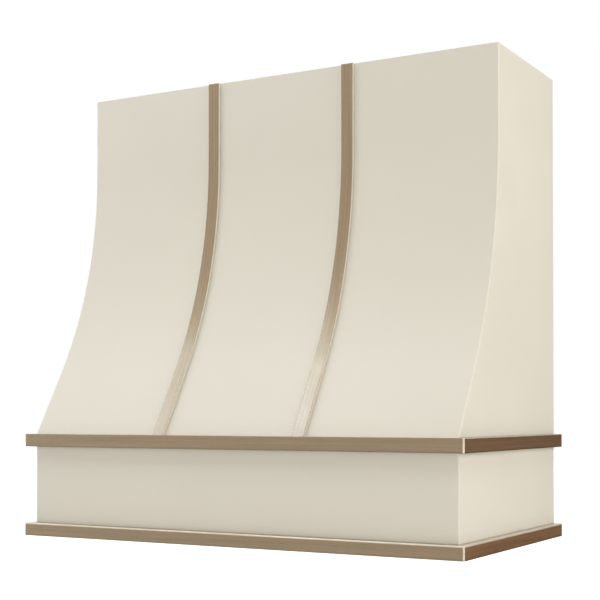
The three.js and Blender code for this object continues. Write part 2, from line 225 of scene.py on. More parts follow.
def eased_section(left, right, front, back, ease, columns=1, groove=0.0):
    """A bent piece's section as [x, inset] points: a flat back, two rounded front corners, each a quarter
    circle of the easing radius, and two back corners, square or cut off at 45 degrees by the groove."""
    low_left, low_right = (left, front + ease), (right, front + ease)
    corner_points = 2 if groove else 1
    back_right = [(right, back - groove), (right - groove, back)][:corner_points]
    back_left = [(left + groove, back), (left, back - groove)][:corner_points]
    parts = [
        np.array(back_right),
        straight(back_right[-1], back_left[0], columns),
        np.array(back_left),
        straight(back_left[-1], low_left, 1),
        arc((left + ease, front + ease), ease, 2, 3),
        straight((left + ease, front), (right - ease, front), columns),
        arc((right - ease, front + ease), ease, 3, 4),
        straight(low_right, back_right[0], 1),
    ]
    return np.concatenate(parts)


def rings_of(x, y, z):
    """Rings of points, shaped (rings, points, 3), from coordinates that vary by ring, by point or by both."""
    return np.stack(np.broadcast_arrays(x, y, z), axis=-1)


def edges_between(marked):
    """Marks the quads of a ring that lie between two marked points of its section."""
    return marked & np.roll(marked, -1)


def grid_faces(rows, points):
    """Quads between neighbouring rings of a closed section, as an array of vertex numbers."""
    row, point = np.meshgrid(np.arange(rows - 1), np.arange(points), indexing="ij")
    here, above = row * points, (row + 1) * points
    after = (point + 1) % points
    return np.stack([here + point, here + after, above + after, above + point], axis=-1).reshape(-1, 4)


def highlighted(first, second, ease, fade=PAINTED_LIGHT_FADE):
    """How far an eased arris carries the painted highlight: 1 along its quarter circle and 0 past a short
    fade.

    first and second are a point's distances from the two faces that meet there. The larger of them is at
    most the easing radius on the arc, and goes on growing over either flat.
    """
    return np.clip((ease + fade - np.maximum(first, second)) / fade, 0, 1)


def solid_from_rings(name, rings, second_side=None, **attributes):
    """A closed mesh from rings of points: quads from ring to ring, and the first and last ring as caps.

    rings has the shape (rings, points, 3). second_side marks the quads of each ring that take the second
    material, and each attribute gives one number or one vector for every point.
    """
    count, points = rings.shape[:2]
    quads = grid_faces(count, points)
    first = np.arange(points)[::-1]
    last = np.arange(points) + (count - 1) * points
    middle = rings.reshape(-1, 3).mean(0)
    corners = rings.reshape(-1, 3)[quads] - middle
    volume = np.einsum("ij,ij->i", corners[:, 0], np.cross(corners[:, 1], corners[:, 2])).sum()
    faces = [*quads.tolist(), first.tolist(), last.tolist()]
    if volume < 0:
        faces = [face[::-1] for face in faces]
    mesh = bpy.data.meshes.new(name)
    mesh.from_pydata(rings.reshape(-1, 3), [], faces)
    if second_side is not None:
        second = np.zeros(len(faces), np.int32)
        second[: len(quads)] = np.tile(second_side, count - 1)
        mesh.polygons.foreach_set("material_index", second)
    for label, numbers in attributes.items():
        numbers = np.ascontiguousarray(numbers, np.float32)
        vector = numbers.ndim > 1 and numbers.shape[-1] == 3
        attribute = mesh.attributes.new(label, "FLOAT_VECTOR" if vector else "FLOAT", "POINT")
        attribute.data.foreach_set("vector" if vector else "value", numbers.ravel())
    return mesh


def finish_mesh(mesh, sharp=math.radians(35)):
    """Merges points that fall together, smooths the shading and keeps edges sharper than the limit."""
    work = bmesh.new()
    work.from_mesh(mesh)
    bmesh.ops.remove_doubles(work, verts=work.verts, dist=SAME_PLACE)
    work.to_mesh(mesh)
    work.free()
    mesh.polygons.foreach_set("use_smooth", np.ones(len(mesh.polygons), bool))
    mesh.set_sharp_from_angle(angle=sharp)
    mesh.update()


def place(mesh, slot, nodes, *materials):
    """Puts a mesh in the scene as a piece that stands for CAD nodes and rides on the hood's body."""
    finish_mesh(mesh)
    piece = bpy.data.objects.new(mesh.name, mesh)
    bpy.context.scene.collection.objects.link(piece)
    for material in materials:
        mesh.materials.append(material)
    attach(piece, BODY)
    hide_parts(*nodes)


# -------- painted shell


def skin_mesh(sizes):
    """The swept front: at each height the eased section's insets become depths behind the front line."""
    half = sizes.width / 2
    section = eased_section(-half, half, 0.0, sizes.skin, sizes.body_ease, columns=FRONT_COLUMNS)
    heights, _ = front_rows(sizes)
    depth = front_depth(heights[:, None], section[:, 1], sizes)
    rings = rings_of(section[:, 0], WALL - depth, heights[:, None])
    on_back = edges_between(section[:, 1] > sizes.skin - SAME_PLACE)
    return solid_from_rings("swept_front", rings, on_back)


def apron_mesh(sizes, rows=9):
    """The upright front board: its eased plan section carried straight up from the underside."""
    half = sizes.width / 2
    section = eased_section(-half, half, 0.0, sizes.board, sizes.body_ease, columns=FRONT_COLUMNS)
    heights = np.linspace(0, sizes.base_height, rows)
    rings = rings_of(section[:, 0], WALL - sizes.base_depth + section[:, 1], heights[:, None])
    on_back = edges_between(section[:, 1] > sizes.board - SAME_PLACE)
    return solid_from_rings("apron", rings, on_back)


def side_mesh(name, side, sizes, ease_steps=4):
    """A side panel: its outline in side view, carried across the thickness. The painted joint to the skin
    is filled, so the front edge lies on the skin's back. The top and wall edges are eased outside:
    they draw in by ease - ease cos(t) where the face runs out by ease sin(t)."""
    heights, _ = front_rows(sizes)
    apron_back = sizes.base_depth - sizes.board
    outline = np.concatenate(
        [
            [[0.0, 0.0], [apron_back, 0.0], [apron_back, sizes.base_height]],
            np.stack([front_depth(heights, sizes.skin, sizes), heights], axis=1),
            [[0.0, sizes.height]],
        ]
    )
    half = sizes.width / 2
    turns = np.linspace(0, 1, ease_steps + 1) * math.pi / 2
    across = np.concatenate([[half - sizes.board], half - PANEL_EASE + PANEL_EASE * np.sin(turns)])
    drawn_in = np.concatenate([[0.0], PANEL_EASE - PANEL_EASE * np.cos(turns)])
    depth = np.maximum(outline[:, 0], drawn_in[:, None])
    height = np.minimum(outline[:, 1], sizes.height - drawn_in[:, None])
    mesh = solid_from_rings(name, rings_of(side * across[:, None], WALL - depth, height))
    inner_face = len(mesh.polygons) - 2
    mesh.polygons[inner_face].material_index = 1
    return mesh


# -------- walnut


def grain_of(along, across, through, number):
    """Place in the stock that the walnut piece of this number was cut from."""
    further, beside = GRAIN_STEP * number, GRAIN_STRIP * number
    return rings_of(along + further, across + beside, through).reshape(-1, 3)


def strap_mesh(name, side, number, sizes):
    """A strap bent over the skin: an eased section carried up the front, its grain along the curve. Its
    two sides were painted along with the skin, down to a fine groove against it."""
    centre = side * sizes.width / 6
    half = sizes.strap_width / 2
    section = eased_section(
        -half, half, -sizes.strap_thickness, 0.0, sizes.strap_ease, columns=4, groove=sizes.strap_groove
    )
    heights, along = front_rows(sizes)
    depth = front_depth(heights[:, None], section[:, 1], sizes)
    rings = rings_of(centre + section[:, 0], WALL - depth, heights[:, None])
    grain = grain_of(along[:, None], section[:, 0], section[:, 1], number)
    paint_line = half - STRAP_PAINT * sizes.strap_ease
    painted = edges_between(np.abs(section[:, 0]) > paint_line)
    return solid_from_rings(
        name, rings, painted, grain=grain, wear=np.zeros(len(grain)), tone=np.ones(len(grain))
    )


def trim_section(sizes, ease):
    """A moulding's section as [outward, up] points: an upper arris of the given easing, a crisp lower one,
    two slightly eased inner ones, and two points on the face where the painted shade along its foot ends."""
    high, out, crisp, back = sizes.trim_height, sizes.trim_thickness, sizes.trim_crisp_ease, TRIM_BACK_EASE
    parts = [
        arc((back, high - back), back, 1, 2, 3),
        straight((0, high - back), (0, back), 3),
        arc((back, back), back, 2, 3, 3),
        straight((back, 0), (out - crisp, 0), 2),
        arc((out - crisp, crisp), crisp, 3, 4),
        np.array([[out, FOOT_SHADE_HEIGHT], [out, FOOT_SHADE_HEIGHT + PAINTED_LIGHT_FADE]]),
        straight((out, FOOT_SHADE_HEIGHT + PAINTED_LIGHT_FADE), (out, high - ease), 4, hold=PAINTED_LIGHT_FADE),
        arc((out - ease, high - ease), ease, 0, 1),
        straight((out - ease, high), (back, high), 2, hold=PAINTED_LIGHT_FADE),
    ]
    return np.concatenate(parts)


def mitred_end(section, sizes, steps=6):
    """Plan of a moulding's right end from its straight run to the mitre, as [outward in x, outward in y].

    A point that stands further out than the corner circle's centre turns about that centre by half a
    quarter, and a point closer in runs straight to the mitre line. The first row of points stands short
    of the corner by the length over which its painted highlight fades.
    """
    centre = sizes.trim_thickness - sizes.trim_ease
    out = section[:, 0]
    radius = np.maximum(out - centre, 0)
    base = np.minimum(out, centre)
    angle = np.linspace(0, 0.25 * math.pi, steps + 1)
    x = base + radius * np.sin(angle)[:, None]
    y = base + radius * np.cos(angle)[:, None]
    return np.concatenate([x[:1] - PAINTED_LIGHT_FADE, x]), np.concatenate([y[:1], y])


def trim_wear(from_end, out, up, ease, top_wear, sizes):
    """Painted light on a moulding: 1 where a painted highlight makes the wood pale, -1 where it is darkened.

    The painted highlight lies on its mitred corner, and on its upper arris and the ledge behind it as far
    as the given share for its top says; on the ledge it stands for a grazing reflection. Painted shade
    darkens the foot of the face, and the ledge grows darker towards the joint behind it.
    """
    # how pale the ledge's painted reflection gets, how dark the ledge gets at its joint, and how fast that
    # fades outward
    ledge_highlight, ledge_joint_dark, ledge_dark_fall = 0.4, 0.6, 3
    from_face = sizes.trim_thickness - out
    share_out = out / sizes.trim_thickness
    on_ledge = up > sizes.trim_height - SAME_PLACE
    on_face = from_face < sizes.trim_crisp_ease + SAME_PLACE
    # painted highlight along the upper arris, and on the ledge a paler painted reflection that grows outward
    arris = highlighted(from_face, sizes.trim_height - up, ease)
    upper = top_wear * np.maximum(arris, on_ledge * ledge_highlight * share_out)
    # painted highlight along the mitred corner
    corner = highlighted(from_face, from_end, sizes.trim_ease)
    # painted shade along the foot of the face
    foot = on_face * np.clip((FOOT_SHADE_HEIGHT + PAINTED_LIGHT_FADE - up) / PAINTED_LIGHT_FADE, 0, 1)
    # the ledge grows darker towards the joint behind it
    joint = on_ledge * np.clip(ledge_joint_dark - ledge_dark_fall * share_out, 0, 1)
    return np.maximum(upper, corner) - np.maximum(foot, joint) * (1 - corner)


def front_trim_mesh(name, low, number, ease, top_wear, tone, sizes, rows=33):
    """The front moulding: its section runs along the apron between two mitres with a rounded corner."""
    section = trim_section(sizes, ease)
    end_x, end_y = mitred_end(section, sizes)
    half = sizes.width / 2
    runs = np.linspace(-half + MITRE_RUN, half - MITRE_RUN, rows)
    middle_x, middle_y = np.broadcast_arrays(runs[:, None], section[:, 0])
    x = np.concatenate([-(half + end_x[::-1]), middle_x, half + end_x])
    out = np.concatenate([end_y[::-1], middle_y, end_y])
    z = np.broadcast_to(low + section[:, 1], x.shape)
    rings = rings_of(x, WALL - sizes.base_depth - out, z)
    grain = grain_of(x, out, z, number)
    from_end = half + sizes.trim_thickness - np.abs(x)
    # painted highlight and painted shade on the moulding, and its darker joint
    wear = trim_wear(from_end, out, z - low, ease, top_wear, sizes)
    return solid_from_rings(name, rings, grain=grain, wear=wear, tone=np.full(len(grain), tone))


def side_trim_mesh(name, side, low, number, ease, top_wear, tone, sizes, rows=19):
    """A side moulding: the same section from the wall to the mitre, square at the wall."""
    section = trim_section(sizes, ease)
    end_forward, end_out = mitred_end(section, sizes)
    runs = np.linspace(0.0, sizes.base_depth - MITRE_RUN, rows)
    middle_run, middle_out = np.broadcast_arrays(runs[:, None], section[:, 0])
    run = np.concatenate([middle_run, sizes.base_depth + end_forward - MITRE_GAP])
    out = np.concatenate([middle_out, end_out])
    z = np.broadcast_to(low + section[:, 1], run.shape)
    rings = rings_of(side * (sizes.width / 2 + out), WALL - run, z)
    grain = grain_of(run, out, z, number)
    from_end = sizes.base_depth + sizes.trim_thickness - run
    # painted highlight and painted shade on the moulding, and its darker joint
    wear = trim_wear(from_end, out, z - low, ease, top_wear, sizes)
    return solid_from_rings(name, rings, grain=grain, wear=wear, tone=np.full(len(grain), tone))


# -------- screws


def screw_line(node):
    """The top of a screw's plain CAD solid, the way it points and its length. Its axis is the longest way
    through its points, and its top is the end where they lie furthest from that axis."""
    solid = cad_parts[node].data
    points = np.empty(len(solid.vertices) * 3)
    solid.vertices.foreach_get("co", points)
    points = points.reshape(-1, 3)
    middle = points.mean(0)
    axis = np.linalg.svd(points - middle)[2][0]
    along = (points - middle) @ axis
    off = np.linalg.norm(points - middle - along[:, None] * axis, axis=1)
    if along[np.argmax(off)] > along.mean():
        axis, along = -axis, -along
    return middle + along.min() * axis, axis, float(np.ptp(along))


def screw_head(angle):
    """Radii at each angle, and places along the screw, of a pan head that sinks into a six-lobed recess."""
    # radius, place along the screw, and the share by which the six lobes widen and narrow the radius
    turned = [
        (0.00005, 0.0013, 0.0),
        (0.0013, 0.0013, 0.16),
        (0.0014, 0.00006, 0.16),
        (0.0016, 0.0, 0.0),
        (0.0025, 0.00002, 0.0),
        (0.0034, 0.0004, 0.0),
        (0.0040, 0.0011, 0.0),
        (SCREW_HEAD_RADIUS, 0.0016, 0.0),
        (SCREW_HEAD_RADIUS, SCREW_HEAD_HEIGHT - 0.00001, 0.0),
        (SCREW_SHANK, SCREW_HEAD_HEIGHT, 0.0),
    ]
    radius, along, lobes = np.array(turned).T
    return radius[:, None] * (1 + lobes[:, None] * np.cos(6 * angle)), along


def screw_shank(angle, total, flank=2.4):
    """Radii at each angle, and places along the screw, of its shank. On the thread the radius is
    core + (shank - core) max(0, 1 - saw), where saw is 0 on a line that winds once for each pitch and grows
    to both sides of it. The thread starts below a plain neck and runs out into a point."""
    along = np.linspace(SCREW_HEAD_HEIGHT + SCREW_NECK, total, SHANK_ROWS)
    winding = along[:, None] / THREAD_PITCH - angle / (2 * math.pi)
    saw = 2 * np.abs(winding - np.floor(winding + 0.5)) * flank
    point = np.clip((total - along) / SCREW_POINT, 0.01, 1)
    threaded = np.clip((along - along[0]) / THREAD_START, 0, 1)[:, None]
    ridge = (SCREW_SHANK - SCREW_CORE) * np.maximum(0, 1 - saw) * threaded
    plain = SCREW_SHANK + (SCREW_CORE - SCREW_SHANK) * threaded
    return (plain + ridge) * point[:, None], along


def screw_mesh(name, node):
    """A pan-head pocket screw, set on the axis and at the head of its plain CAD solid. A point lies its
    radius away from the axis, at its angle and its place along the screw."""
    top, axis, total = screw_line(node)
    angle = np.linspace(0, 2 * math.pi, SCREW_SIDES, endpoint=False)
    head_radii, head_along = screw_head(angle)
    shank_radii, shank_along = screw_shank(angle, total)
    radii = np.concatenate([head_radii, shank_radii])
    run = np.concatenate([head_along, shank_along])
    side_a = np.cross(axis, [0.0, 0.0, 1.0] if abs(axis[2]) < 0.9 else [1.0, 0.0, 0.0])
    side_a /= np.linalg.norm(side_a)
    side_b = np.cross(axis, side_a)
    ring = np.cos(angle)[:, None] * side_a + np.sin(angle)[:, None] * side_b
    rings = top + run[:, None, None] * axis + radii[:, :, None] * ring
    return solid_from_rings(name, rings)


# -------- materials


def feed(tree, socket, value):
    """Gives an input a value, or links another node's output to it. A colour without opacity is opaque."""
    if isinstance(value, bpy.types.NodeSocket):
        tree.links.new(value, socket)
    elif socket.type == "RGBA" and len(value) == 3:
        socket.default_value = (*value, 1.0)
    else:
        socket.default_value = value


def add(tree, kind, inputs=None, **settings):
    """A node with its settings, and its inputs by name or number."""
    node = tree.nodes.new(kind)
    for key, value in settings.items():
        setattr(node, key, value)
    for key, value in (inputs or {}).items():
        feed(tree, node.inputs[key], value)
    return node


def cleared(owner):
    """The emptied node tree of a material or a world."""
    owner.use_nodes = True
    owner.node_tree.nodes.clear()
    return owner.node_tree


def show(tree, shader_output, kind="ShaderNodeOutputMaterial"):
    """Makes a shader's output the surface."""
    tree.links.new(shader_output, add(tree, kind).inputs["Surface"])


def start_material(name, values):
    """A new material with one main shader, whose uniform values are set on its own sockets."""
    material = bpy.data.materials.new(name)
    tree = cleared(material)
    shader = add(tree, "ShaderNodeBsdfPrincipled", values)
    show(tree, shader.outputs["BSDF"])
    return material, tree, shader


def dress(tree, shader, tint, roughness, normal):
    """Gives a shader the colour, the roughness and the relief that vary over a surface."""
    tree.links.new(tint, shader.inputs["Base Color"])
    tree.links.new(roughness, shader.inputs["Roughness"])
    tree.links.new(normal, shader.inputs["Normal"])


def shaded(tint, share):
    """A colour times a share, or times one share for each channel."""
    return tuple(np.array(tint) * share)


def mapped(tree, vector, scale, location=(0, 0, 0)):
    """A pattern's own coordinates."""
    values = {"Vector": vector, "Scale": scale, "Location": location}
    return add(tree, "ShaderNodeMapping", values).outputs["Vector"]


def noise(tree, vector, scale=1.0, detail=2.0, roughness=0.5, distortion=0.0):
    """Soft noise from 0 to 1."""
    values = {
        "Vector": vector,
        "Scale": scale,
        "Detail": detail,
        "Roughness": roughness,
        "Distortion": distortion,
    }
    return add(tree, "ShaderNodeTexNoise", values).outputs["Fac"]


def ranged(tree, value, low, high, to_low, to_high):
    """Takes low..high to to_low..to_high and stops there."""
    values = {"Value": value, "From Min": low, "From Max": high, "To Min": to_low, "To Max": to_high}
    return add(tree, "ShaderNodeMapRange", values).outputs["Result"]


def calculate(tree, operation, first, second=0.0):
    """One sum on two values."""
    return add(tree, "ShaderNodeMath", {0: first, 1: second}, operation=operation).outputs[0]


def mixed(tree, factor, first, second, blend="MIX"):
    """A mix of two colours."""
    node = add(tree, "ShaderNodeMix", data_type="RGBA", blend_type=blend)
    sockets = {socket.identifier: socket for socket in [*node.inputs, *node.outputs]}
    for key, value in (("Factor_Float", factor), ("A_Color", first), ("B_Color", second)):
        feed(tree, sockets[key], value)
    return sockets["Result_Color"]


def bumped(tree, height, distance, strength):
    """Surface relief of the given height in metres."""
    values = {"Height": height, "Distance": distance, "Strength": strength}
    return add(tree, "ShaderNodeBump", values).outputs["Normal"]


def joint_line(tree, height, ledge):
    """1 at a moulding's top edge, along the joint, and 0 from 1.5 mm above it and 1.8 mm below it."""
    below = ranged(tree, height, ledge - 0.0018, ledge - 0.0008, 0, 1)
    above = ranged(tree, height, ledge + 0.0006, ledge + 0.0015, 1, 0)
    return calculate(tree, "MULTIPLY", below, above)


def paint_material(colours):
    """Satin cream paint, sprayed: a faint orange peel, a slow drift of tone and of gloss, and a darker line
    in the joint above the mouldings, on the sides above both and on the front above the lower one."""
    material, tree, shader = start_material("satin_cream_paint", {"IOR": 1.5})
    place_on = add(tree, "ShaderNodeTexCoord").outputs["Object"]
    tone = noise(tree, place_on, scale=3.5, detail=3)
    speck = noise(tree, place_on, scale=900, detail=2)
    base = tuple(colours.paint)
    drift = mixed(tree, ranged(tree, tone, 0.3, 0.7, 0, 1), shaded(base, 0.975), base)
    fleck = mixed(tree, ranged(tree, speck, 0.3, 0.7, 0.0, 0.25), drift, shaded(base, 0.985))
    split = add(tree, "ShaderNodeSeparateXYZ", {"Vector": place_on})
    height = split.outputs["Z"]
    from_middle = calculate(tree, "ABSOLUTE", split.outputs["X"])
    on_side = ranged(tree, from_middle, PANEL_HIGH.x - 0.002, PANEL_HIGH.x, 0, 1)
    upper = calculate(tree, "MULTIPLY", joint_line(tree, height, UPPER_LEDGE), on_side)
    joint = calculate(tree, "MAXIMUM", joint_line(tree, height, LOWER_LEDGE), upper)
    # a darker line along the joint above the mouldings
    joint_darkening = calculate(tree, "MULTIPLY", joint, ranged(tree, tone, 0.3, 0.7, 0.3, 0.42))
    gloss = ranged(tree, noise(tree, place_on, scale=14, detail=3), 0.3, 0.7, 0.40, 0.46)
    peel = noise(tree, place_on, scale=420, detail=2, roughness=0.4)
    tint = mixed(tree, joint_darkening, fleck, colours.joint_line_colour)
    dress(tree, shader, tint, gloss, bumped(tree, peel, 0.00003, 0.6))
    return material


def walnut_material(colours):
    """Walnut under a clear satin lacquer. The grain attribute holds each point's place in the straight
    board, so the figure follows a bent strap and turns the corner at a mitre."""
    lacquer = {
        "IOR": 1.57,
        "Specular IOR Level": 0.66,
        "Specular Tint": (0.97, 1.0, 0.25, 1.0),
        "Coat Weight": 1.0,
        "Coat Roughness": 0.2,
        "Coat IOR": 1.8,
    }
    material, tree, shader = start_material("lacquered_walnut", lacquer)
    board = add(tree, "ShaderNodeAttribute", attribute_name="grain").outputs["Vector"]
    figure = noise(tree, mapped(tree, board, (1.6, 60, 60)), detail=4, roughness=0.55, distortion=0.6)
    streak = noise(tree, mapped(tree, board, (5, 260, 260)), detail=3, roughness=0.6)
    fibre = noise(tree, mapped(tree, board, (18, 1300, 1300)), detail=2, roughness=0.6)
    pores = noise(tree, mapped(tree, board, (110, 2600, 2600)), detail=1)
    body = mixed(tree, ranged(tree, figure, 0.36, 0.64, 0, 1), colours.walnut_dark, colours.walnut_light)
    lines = mixed(tree, ranged(tree, streak, 0.35, 0.65, 0, 1), colours.walnut_dark, colours.walnut_light)
    wood = mixed(tree, 0.45, mixed(tree, 0.4, body, colours.walnut_mid), lines)
    fine = mixed(tree, ranged(tree, fibre, 0.3, 0.7, 0.35, 0.0), wood, colours.walnut_dark)
    pore = ranged(tree, pores, 0.62, 0.72, 0, 1)
    # the colour of the stained pores, which also darkens the mouldings as painted shade along their foot and
    # towards the joint behind their ledge
    stain = shaded(colours.walnut_dark, 0.45)
    wood = mixed(tree, calculate(tree, "MULTIPLY", pore, 0.55), fine, stain)
    # each piece's tone; on the side mouldings it is partly painted shade and painted light from below
    tone = add(tree, "ShaderNodeAttribute", attribute_name="tone").outputs["Fac"]
    wood = mixed(tree, 1.0, wood, tone, blend="MULTIPLY")
    # painted light on the mouldings: a painted highlight pales the wood unevenly towards the highlight
    # colour, and painted shade and the darker joint darken it
    wear = add(tree, "ShaderNodeAttribute", attribute_name="wear").outputs["Fac"]
    uneven = ranged(tree, noise(tree, mapped(tree, board, (22, 90, 90)), detail=3), 0.35, 0.6, 0.75, 1.0)
    highlight_share = calculate(tree, "MULTIPLY", ranged(tree, wear, 0, 1, 0, 1), uneven)
    darkening_share = calculate(tree, "MULTIPLY", ranged(tree, wear, 0, -1, 0, 0.9), uneven)
    edged = mixed(tree, highlight_share, mixed(tree, darkening_share, wood, stain), colours.walnut_highlight)
    relief = calculate(tree, "SUBTRACT", calculate(tree, "MULTIPLY", fibre, 0.5), pore)
    dress(tree, shader, edged, ranged(tree, streak, 0.3, 0.7, 0.46, 0.36), bumped(tree, relief, 0.00003, 0.5))
    filled = bumped(tree, calculate(tree, "ADD", streak, fibre), 0.000012, 0.5)
    tree.links.new(filled, shader.inputs["Coat Normal"])
    return material


def along_axis(axis, along, across):
    """Scales of a grain pattern: one along the grain's axis and another across it."""
    return [along if number == axis else across for number in range(3)]


def plywood_material(name, centre, thickness_axis, grain_axis, plies, thickness, colours):
    """Birch plywood as a solid pattern: veneers stacked through the thickness, their grain crossing from
    ply to ply, so faces show long grain and cut edges show the stack. A single ply is solid wood."""
    material, tree, shader = start_material(name, {"IOR": 1.5})
    place_on = add(tree, "ShaderNodeTexCoord").outputs["Object"]
    centred = mapped(tree, place_on, (1, 1, 1), location=tuple(-c for c in centre))
    split = add(tree, "ShaderNodeSeparateXYZ", {"Vector": centred})
    through = split.outputs[thickness_axis]
    ply = calculate(tree, "ADD", calculate(tree, "MULTIPLY", through, 0.998 * plies / thickness), 0.5 * plies)
    number = calculate(tree, "FLOOR", ply)
    crossed = calculate(tree, "MODULO", calculate(tree, "ABSOLUTE", number), 2.0)
    cross_axis = ({0, 1, 2} - {thickness_axis, grain_axis}).pop()
    long_scale, cross_scale = (along_axis(axis, 9.0, 500.0) for axis in (grain_axis, cross_axis))
    long_grain = noise(tree, mapped(tree, centred, long_scale), detail=3, roughness=0.6)
    cross_grain = noise(tree, mapped(tree, centred, cross_scale), detail=3, roughness=0.6)
    wide_scale = along_axis(grain_axis, 1.3, 28.0)
    figure = noise(tree, mapped(tree, centred, wide_scale), detail=3, distortion=0.8)
    warm = shaded(colours.birch, (0.88, 0.82, 0.74))
    face = mixed(tree, ranged(tree, figure, 0.35, 0.65, 0, 1), warm, colours.birch)
    face = mixed(tree, ranged(tree, long_grain, 0.35, 0.65, 0.25, 0), face, colours.birch_edge)
    end = mixed(tree, ranged(tree, cross_grain, 0.3, 0.7, 0.9, 0.35), face, colours.birch_edge)
    stack = mixed(tree, crossed, face, end)
    within = calculate(tree, "SUBTRACT", ply, number)
    middle = calculate(tree, "ABSOLUTE", calculate(tree, "SUBTRACT", within, 0.5))
    inside = calculate(tree, "LESS_THAN", calculate(tree, "ABSOLUTE", through), 0.485 * thickness)
    glue = calculate(tree, "MULTIPLY", ranged(tree, middle, 0.42, 0.5, 0, 0.7), inside)
    wood = mixed(tree, glue, stack, shaded(colours.birch_edge, 0.45))
    roughness = ranged(tree, long_grain, 0.3, 0.7, 0.62, 0.52)
    dress(tree, shader, wood, roughness, bumped(tree, long_grain, 0.00006, 0.5))
    return material


def zinc_material(colours):
    """Bright zinc plate with a fine uneven crystal tone."""
    material, tree, shader = start_material("bright_zinc", {"Metallic": 1.0})
    place_on = add(tree, "ShaderNodeTexCoord").outputs["Object"]
    tone = noise(tree, place_on, scale=700, detail=3)
    warm = shaded(colours.zinc, (0.92, 0.88, 0.78))
    plate = mixed(tree, ranged(tree, tone, 0.35, 0.65, 0, 1), warm, colours.zinc)
    dress(tree, shader, plate, ranged(tree, tone, 0.3, 0.7, 0.24, 0.4), bumped(tree, tone, 0.00002, 0.3))
    return material


def material_once(name, make, *values):
    """A finish is made once and then shared."""
    return bpy.data.materials.get(name) or make(*values)


# -------- operators


class HOOD_OT_shell(bpy.types.Operator):
    """Paint the shell: the swept front, the apron and both side panels"""

    bl_idname = "hood.shell"
    bl_label = "Painted shell"

    def execute(self, context):
        sizes, colours = context.scene.hood_sizes, context.scene.hood_colours
        paint = material_once("satin_cream_paint", paint_material, colours)
        wall_side = (0.0, WALL, sizes.height / 2)
        bare = plywood_material("bare_birch_inside", wall_side, 1, 2, plies=1, thickness=2.0, colours=colours)
        place(skin_mesh(sizes), "cream_paint", ["front_skin"], paint, bare)
        place(apron_mesh(sizes), "cream_paint", ["apron_front"], paint, bare)
        for label, side in (("left", -1), ("right", 1)):
            panel = side_mesh(f"side_board_{label}", side, sizes)
            place(panel, "cream_paint", [f"side_panel_{label}"], paint, bare)
        return {"FINISHED"}


class HOOD_OT_straps(bpy.types.Operator):
    """Bend two walnut straps over the front"""

    bl_idname = "hood.straps"
    bl_label = "Walnut straps"

    def execute(self, context):
        sizes, colours = context.scene.hood_sizes, context.scene.hood_colours
        walnut = material_once("lacquered_walnut", walnut_material, colours)
        paint = material_once("satin_cream_paint", paint_material, colours)
        for number, (label, side) in enumerate((("left", -1), ("right", 1))):
            piece = strap_mesh(f"bent_strap_{label}", side, number, sizes)
            place(piece, "walnut", [f"strap_{label}"], walnut, paint)
        return {"FINISHED"}


class HOOD_OT_mouldings(bpy.types.Operator):
    """Run the walnut mouldings round the base, mitred at the corners"""

    bl_idname = "hood.mouldings"
    bl_label = "Walnut mouldings"

    # how light each moulding's board is, and how far its upper arris and ledge carry the painted highlight.
    # The upper side boards are darker and the lower side boards lighter, most of all on the right: painted
    # shade, and painted light from below.
    boards = {
        "upper_moulding_front": (0.95, 0.0),
        "upper_moulding_left": (0.9, 0.7),
        "upper_moulding_right": (0.85, 0.7),
        "lower_moulding_front": (0.95, 1.0),
        "lower_moulding_left": (1.1, 1.0),
        "lower_moulding_right": (1.2, 1.0),
    }

    def execute(self, context):
        sizes, colours = context.scene.hood_sizes, context.scene.hood_colours
        walnut = material_once("lacquered_walnut", walnut_material, colours)
        for number, (name, (tone, top_wear)) in enumerate(self.boards.items(), 2):
            level, _, label = name.split("_")
            low = sizes.base_height - sizes.trim_height if level == "upper" else 0.0
            ease = sizes.trim_crisp_ease if level == "upper" else sizes.trim_ease
            if label == "front":
                piece = front_trim_mesh(name, low, number, ease, top_wear, tone, sizes)
            else:
                side = -1 if label == "left" else 1
                piece = side_trim_mesh(name, side, low, number, ease, top_wear, tone, sizes)
            place(piece, "walnut", [f"{level}_trim_{label}"], walnut)
        return {"FINISHED"}


class HOOD_OT_frame(bpy.types.Operator):
    """Finish the boards inside: ribs, rails and ledges as birch plywood, battens and blocks as birch"""

    bl_idname = "hood.frame"
    bl_label = "Plywood frame"

    # thickness axis, grain axis and number of plies of each kind of board
    boards = {
        "rib": (0, 2, BOARD_PLIES),
        "foot_batten": (2, 0, 1),
        "top_front_rail": (1, 0, BOARD_PLIES),
        "upper_wall_rail": (1, 0, BOARD_PLIES),
        "lower_wall_rail": (1, 0, BOARD_PLIES),
        "ledge_front": (2, 0, BOARD_PLIES),
        "ledge_back": (2, 0, BOARD_PLIES),
        "ledge_left": (2, 1, BOARD_PLIES),
        "ledge_right": (2, 1, BOARD_PLIES),
        "corner_block": (1, 2, 1),
    }

    def execute(self, context):
        colours = context.scene.hood_colours
        for node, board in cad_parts.items():
            cut = next((cut for kind, cut in self.boards.items() if node.startswith(kind)), None)
            if cut is None:
                continue
            low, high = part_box(node)
            thickness = (high - low)[cut[0]]
            birch = plywood_material(f"birch_{node}", tuple((low + high) / 2), *cut, thickness, colours)
            board.data.materials.clear()
            board.data.materials.append(birch)
        return {"FINISHED"}


class HOOD_OT_screws(bpy.types.Operator):
    """Turn the zinc-plated pocket screws"""

    bl_idname = "hood.screws"
    bl_label = "Pocket screws"

    def execute(self, context):
        zinc = material_once("bright_zinc", zinc_material, context.scene.hood_colours)
        for node in sorted(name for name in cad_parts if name.startswith("screw_")):
            place(screw_mesh(node.replace("screw_", "pocket_screw_"), node), "zinc_steel", [node], zinc)
        return {"FINISHED"}


def aim(light, target):
    """Turns a lamp so that it shines on a point."""
    light.rotation_euler = (Vector(target) - light.location).to_track_quat("-Z", "Y").to_euler()


